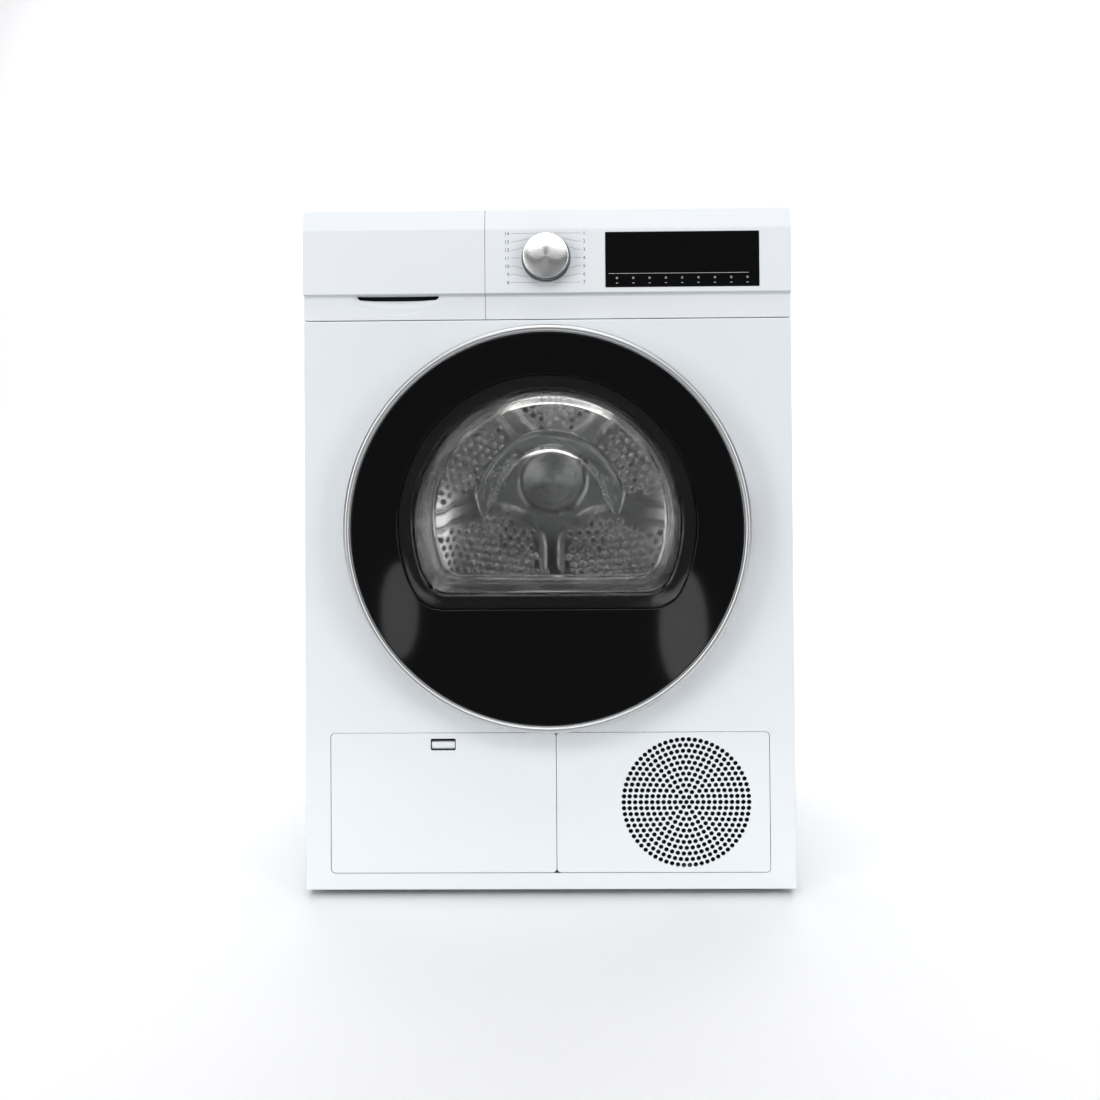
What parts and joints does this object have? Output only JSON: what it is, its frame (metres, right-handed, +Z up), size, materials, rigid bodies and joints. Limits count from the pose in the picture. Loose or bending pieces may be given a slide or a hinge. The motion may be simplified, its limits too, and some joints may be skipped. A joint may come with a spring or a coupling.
{
  "type": "tumble dryer",
  "caption": "White 60 cm front-loading heat-pump tumble dryer with a round glazed door, condensate drawer, programme knob and touch display.",
  "frame": {"origin": "on the floor under the middle of the machine's bounding box", "axes": "+Z up, the front with the door faces -Y, +X to the right seen from the front"},
  "size_m": [0.598, 0.639, 0.842],
  "materials": {
    "enamel": "satin",
    "worktop_board": "white laminate",
    "white_plastic": "satin",
    "tank_plastic": "translucent white",
    "grey_plastic": "matte",
    "dark_plastic": "matte",
    "lifter_plastic": "satin",
    "black_panel": "high gloss",
    "silver": "satin silver",
    "knob_aluminium": "spun brushed",
    "stainless": "satin",
    "galvanised": "zinc coated",
    "machine_metal": "painted",
    "cast": "painted black",
    "coil": "finned",
    "bowl_glass": "clear",
    "rubber": "matte",
    "circuit_board": "lacquered"
  },
  "bodies": {
    "cabinet": {"side_panel_left": "enamel", "side_panel_right": "enamel", "front_panel": "enamel", "worktop": "worktop_board", "rear_panel": "galvanised", "base_tray": "grey_plastic", "mains_inlet": "dark_plastic", "control_panel": "white_plastic", "display_window": "black_panel", "selector_switch": "dark_plastic", "control_board": "circuit_board", "container_guide": "grey_plastic", "catch_receiver": "dark_plastic", "hinge_bracket": "galvanised", "loading_port": "grey_plastic", "front_bulkhead": "grey_plastic", "rear_bulkhead": "galvanised", "filter_housing": "grey_plastic", "drum_light": "bowl_glass", "rear_bearing": "galvanised", "motor": "machine_metal", "blower_housing": "grey_plastic", "rear_air_duct": "grey_plastic", "compressor": "cast", "evaporator": "coil", "condenser": "coil", "heat_exchanger_cover": "grey_plastic", "condensate_pump": "dark_plastic", "drum_belt": "rubber", "grille_panel": "white_plastic"},
    "door": {"door_ring": "silver", "door_panel": "black_panel", "door_frame": "dark_plastic", "door_bowl": "bowl_glass", "door_seal": "rubber", "door_catch": "grey_plastic", "hinge_leaf": "galvanised"},
    "drum": {"drum_shell": "stainless", "drum_back": "stainless", "drum_hub": "stainless", "drum_shaft": "galvanised", "lifter_1": "lifter_plastic", "lifter_2": "lifter_plastic", "lifter_3": "lifter_plastic"},
    "motor_rotor": {"motor_shaft": "galvanised", "blower_impeller": "dark_plastic"},
    "tensioner": {"tensioner_arm": "galvanised"},
    "idler": {"idler_pulley": "dark_plastic"},
    "roller_left": {"support_roller_left": "rubber"},
    "roller_right": {"support_roller_right": "rubber"},
    "knob": {"programme_knob": "knob_aluminium"},
    "drawer": {"drawer_front": "white_plastic", "condensate_container": "tank_plastic"},
    "flap": {"service_flap": "enamel"},
    "latch": {"flap_latch": "white_plastic"},
    "filter": {"lint_filter": "grey_plastic"},
    "foot_fl": {"foot_front_left": "rubber"},
    "foot_fr": {"foot_front_right": "rubber"},
    "foot_rl": {"foot_rear_left": "rubber"},
    "foot_rr": {"foot_rear_right": "rubber"}
  },
  "joints": [
    {"name": "door_hinge", "type": "hinge", "parent": "cabinet", "child": "door", "pos_m": [0.229, -0.3005, 0.452], "axis": [0, 0, 1], "range_deg": [0, 165]},
    {"name": "drum_spin", "type": "hinge", "parent": "cabinet", "child": "drum", "pos_m": [0, 0, 0.4999], "axis": [0, 1, 0], "continuous": true},
    {"name": "motor_spin", "type": "hinge", "parent": "cabinet", "child": "motor_rotor", "pos_m": [0.112, 0, 0.128], "axis": [0, 1, 0], "continuous": true},
    {"name": "roller_left_spin", "type": "hinge", "parent": "cabinet", "child": "roller_left", "pos_m": [-0.17735, 0, 0.24662], "axis": [0, 1, 0], "continuous": true},
    {"name": "roller_right_spin", "type": "hinge", "parent": "cabinet", "child": "roller_right", "pos_m": [0.17735, 0, 0.24662], "axis": [0, 1, 0], "continuous": true},
    {"name": "tensioner_pivot", "type": "hinge", "parent": "cabinet", "child": "tensioner", "pos_m": [-0.042, 0, 0.176], "axis": [0, -1, 0], "range_deg": [0, 12], "stiffness_Nm_per_rad": 1, "springref_deg": -5.73},
    {"name": "idler_spin", "type": "hinge", "parent": "tensioner", "child": "idler", "pos_m": [0.02, 0, 0.176], "axis": [0, 1, 0], "continuous": true},
    {"name": "knob_turn", "type": "hinge", "parent": "cabinet", "child": "knob", "pos_m": [0, -0.2795, 0.78], "axis": [0, 1, 0], "continuous": true},
    {"name": "drawer_slide", "type": "slide", "parent": "cabinet", "child": "drawer", "axis": [0, -1, 0], "range_m": [0, 0.38]},
    {"name": "flap_hinge", "type": "hinge", "parent": "cabinet", "child": "flap", "pos_m": [-0.13, -0.2745, 0.0306], "axis": [1, 0, 0], "range_deg": [0, 90]},
    {"name": "latch_press", "type": "slide", "parent": "flap", "child": "latch", "axis": [0, 1, 0], "range_m": [0, 0.004], "stiffness_N_per_m": 100, "springref_m": -0.01},
    {"name": "filter_lift", "type": "slide", "parent": "cabinet", "child": "filter", "axis": [0, 0, 1], "range_m": [0, 0.045]},
    {"name": "foot_fl_turn", "type": "hinge", "parent": "cabinet", "child": "foot_fl", "pos_m": [-0.247, -0.2214, 0], "axis": [0, 0, 1], "continuous": true},
    {"name": "foot_fr_turn", "type": "hinge", "parent": "cabinet", "child": "foot_fr", "pos_m": [0.247, -0.2214, 0], "axis": [0, 0, 1], "continuous": true},
    {"name": "foot_rl_turn", "type": "hinge", "parent": "cabinet", "child": "foot_rl", "pos_m": [-0.247, 0.2675, 0], "axis": [0, 0, 1], "continuous": true},
    {"name": "foot_rr_turn", "type": "hinge", "parent": "cabinet", "child": "foot_rr", "pos_m": [0.247, 0.2675, 0], "axis": [0, 0, 1], "continuous": true}
  ],
  "couplings": [
    {"joint": "motor_spin", "follows": "drum_spin", "ratio": 20.279},
    {"joint": "roller_left_spin", "follows": "drum_spin", "ratio": -11.356},
    {"joint": "roller_right_spin", "follows": "drum_spin", "ratio": -11.356},
    {"joint": "idler_spin", "follows": "drum_spin", "ratio": 14.195}
  ]
}
